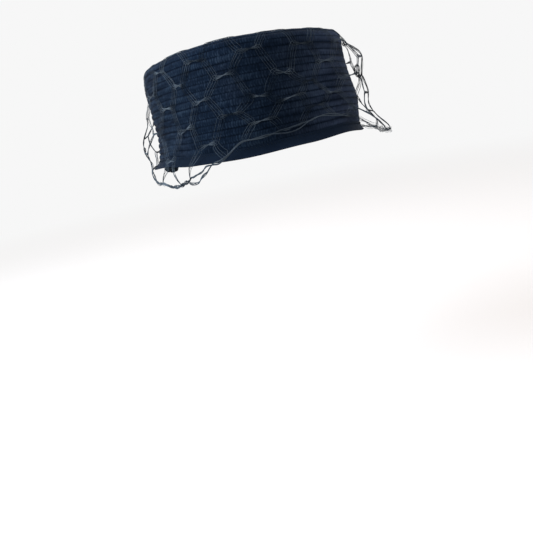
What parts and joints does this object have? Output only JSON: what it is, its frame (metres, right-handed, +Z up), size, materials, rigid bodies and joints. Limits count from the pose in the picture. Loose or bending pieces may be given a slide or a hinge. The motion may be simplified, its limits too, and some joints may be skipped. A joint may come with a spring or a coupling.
{
  "type": "veiled pillbox hat",
  "caption": "Oval pillbox hat of row-stitched braid with a flat top, an out-turned bound edge and a coarse hexagonal net veil drawn over the crown.",
  "frame": {"origin": "middle of the head opening, in the plane of the rim", "axes": "-Y is the front, -X the wearer's right, +Z up through the flat top"},
  "size_m": [0.1988, 0.2468, 0.1139],
  "materials": {
    "side_band": "dark navy row-stitched braid with a soft sheen",
    "crown_tip": "dark navy row-stitched braid, laid flat in ovals",
    "rim_binding": "smooth darker bound edge",
    "veil_net": "fine dark threads with a slight shine",
    "veil_tack": "gathered dark threads"
  },
  "bodies": {
    "root": {"side_band": "side_band", "crown_tip": "crown_tip", "rim_binding": "rim_binding", "veil_top": "veil_net", "veil_net": "veil_net", "veil_tack": "veil_tack"}
  },
  "joints": []
}
